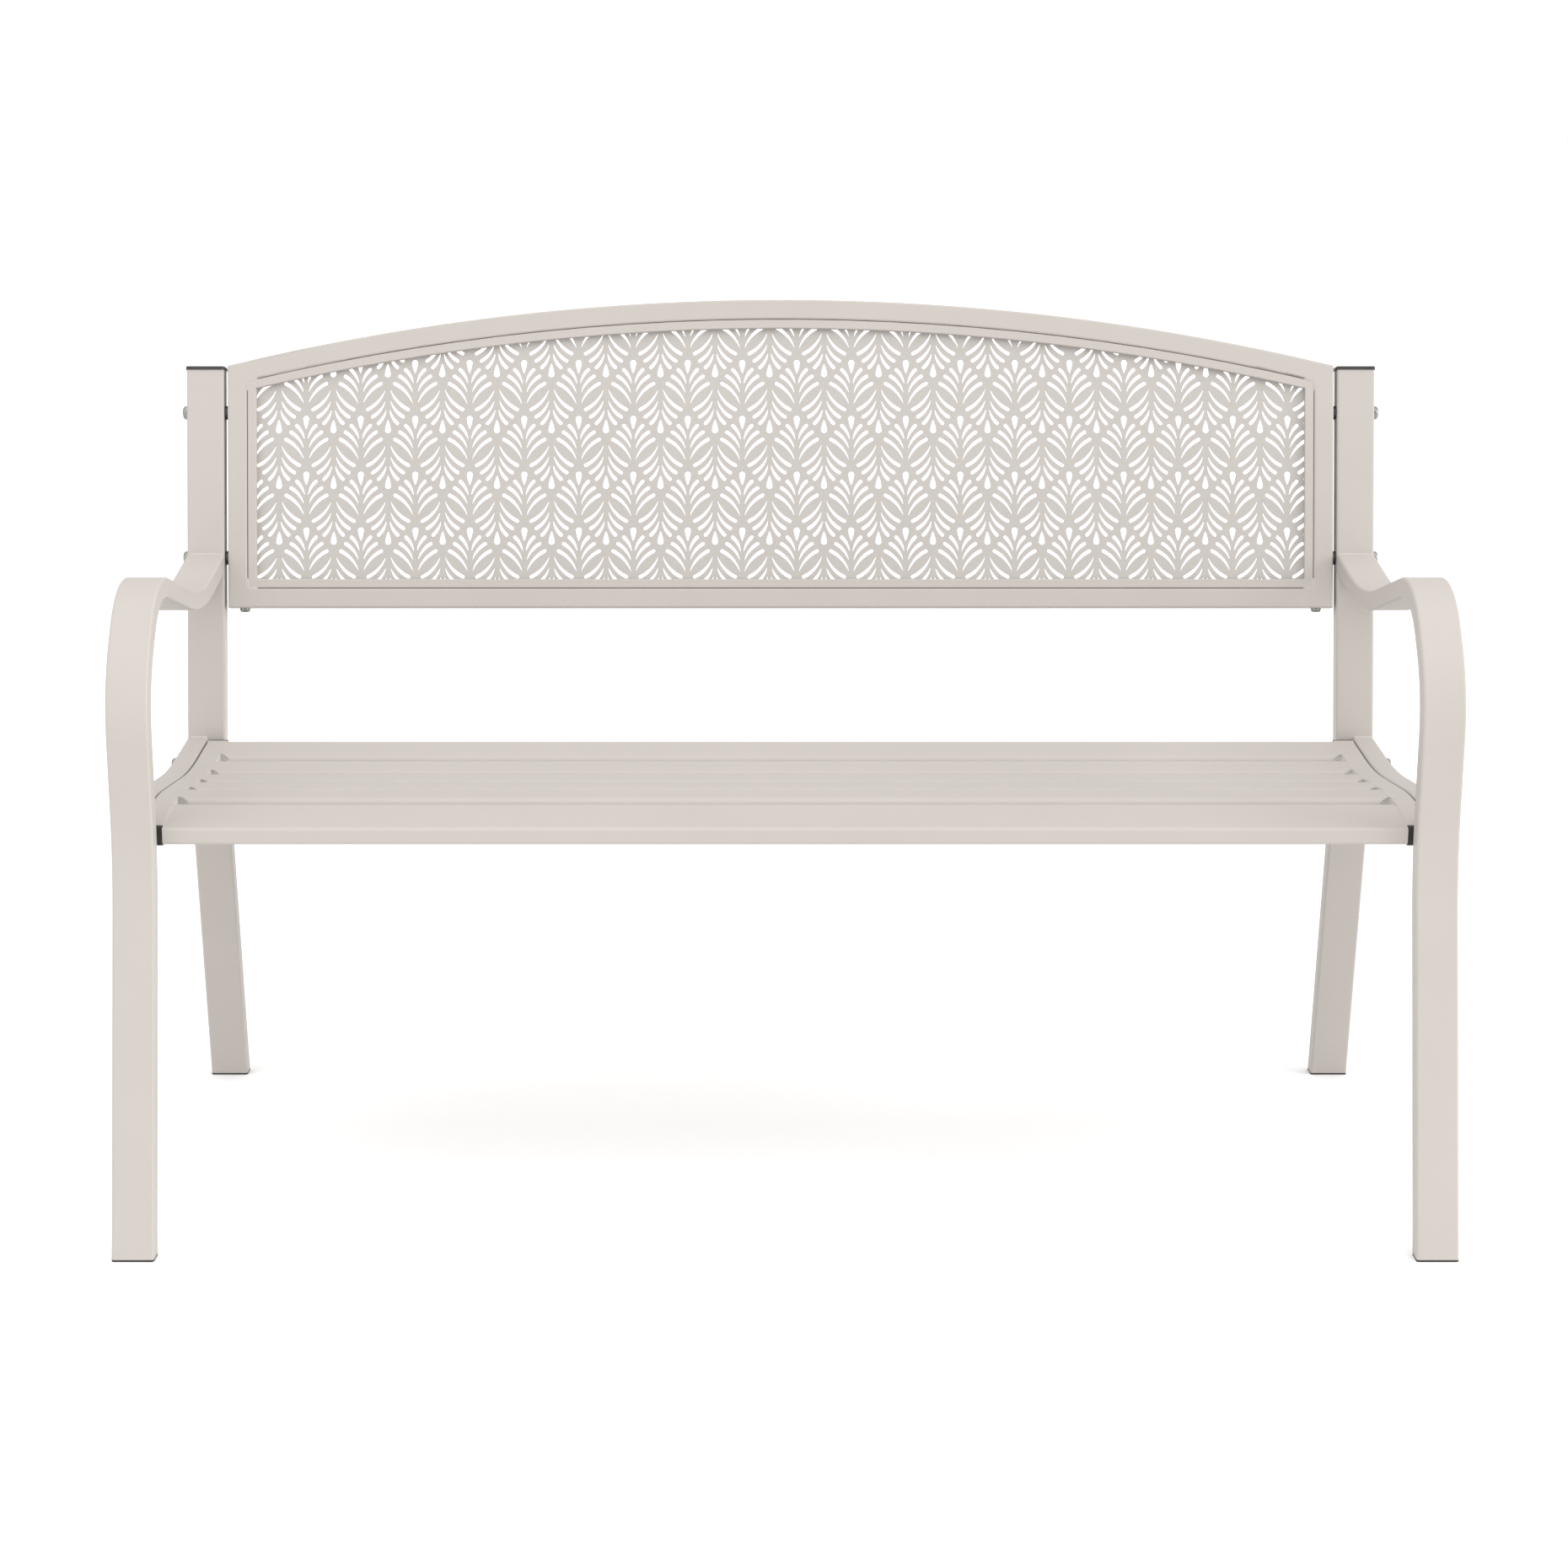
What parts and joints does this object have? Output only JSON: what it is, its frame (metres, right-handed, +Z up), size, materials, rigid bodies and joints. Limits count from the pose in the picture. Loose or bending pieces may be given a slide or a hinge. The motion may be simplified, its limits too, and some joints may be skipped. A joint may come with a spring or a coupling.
{
  "type": "garden bench",
  "caption": "Steel garden bench with bent-tube arms and legs, a contoured slatted seat and an arched backrest filled with a leaf-pattern perforated sheet.",
  "frame": {"origin": "on the ground at the centre of the footprint", "axes": "+X along the bench, to the right for someone facing its front; -Y towards the front; +Z up"},
  "size_m": [1.2804, 0.6086, 0.8553],
  "materials": {
    "paint": "satin powder coat, warm grey taupe",
    "panel_paint": "satin powder coat on thin perforated sheet",
    "black_plastic": "moulded, slightly rough",
    "zinc": "bright zinc plated"
  },
  "bodies": {
    "root": {"arm_front_leg_left": "paint", "arm_front_leg_right": "paint", "rear_post_left": "paint", "rear_post_right": "paint", "seat_rail_left": "paint", "seat_rail_right": "paint", "seat_end_tube_left": "paint", "seat_end_tube_right": "paint", "seat_slat_1": "paint", "seat_slat_2": "paint", "seat_slat_3": "paint", "seat_slat_4": "paint", "seat_slat_5": "paint", "seat_front_slat": "paint", "seat_centre_support": "paint", "back_arch_rail": "paint", "back_bottom_rail": "paint", "back_side_rail_left": "paint", "back_side_rail_right": "paint", "back_rim_top": "paint", "back_rim_bottom": "paint", "back_rim_left": "paint", "back_rim_right": "paint", "back_panel": "panel_paint", "post_cap_left": "black_plastic", "post_cap_right": "black_plastic", "front_foot_plug_left": "black_plastic", "front_foot_plug_right": "black_plastic", "rear_foot_plug_left": "black_plastic", "rear_foot_plug_right": "black_plastic", "seat_front_plug_left": "black_plastic", "seat_front_plug_right": "black_plastic", "seat_rear_plug_left": "black_plastic", "seat_rear_plug_right": "black_plastic", "back_spacers": "black_plastic", "seat_spacers": "black_plastic", "back_bolts": "zinc", "seat_bolts": "zinc", "back_corner_screws": "zinc", "back_rivet_nuts": "zinc", "seat_rivet_nuts": "zinc"}
  },
  "joints": []
}
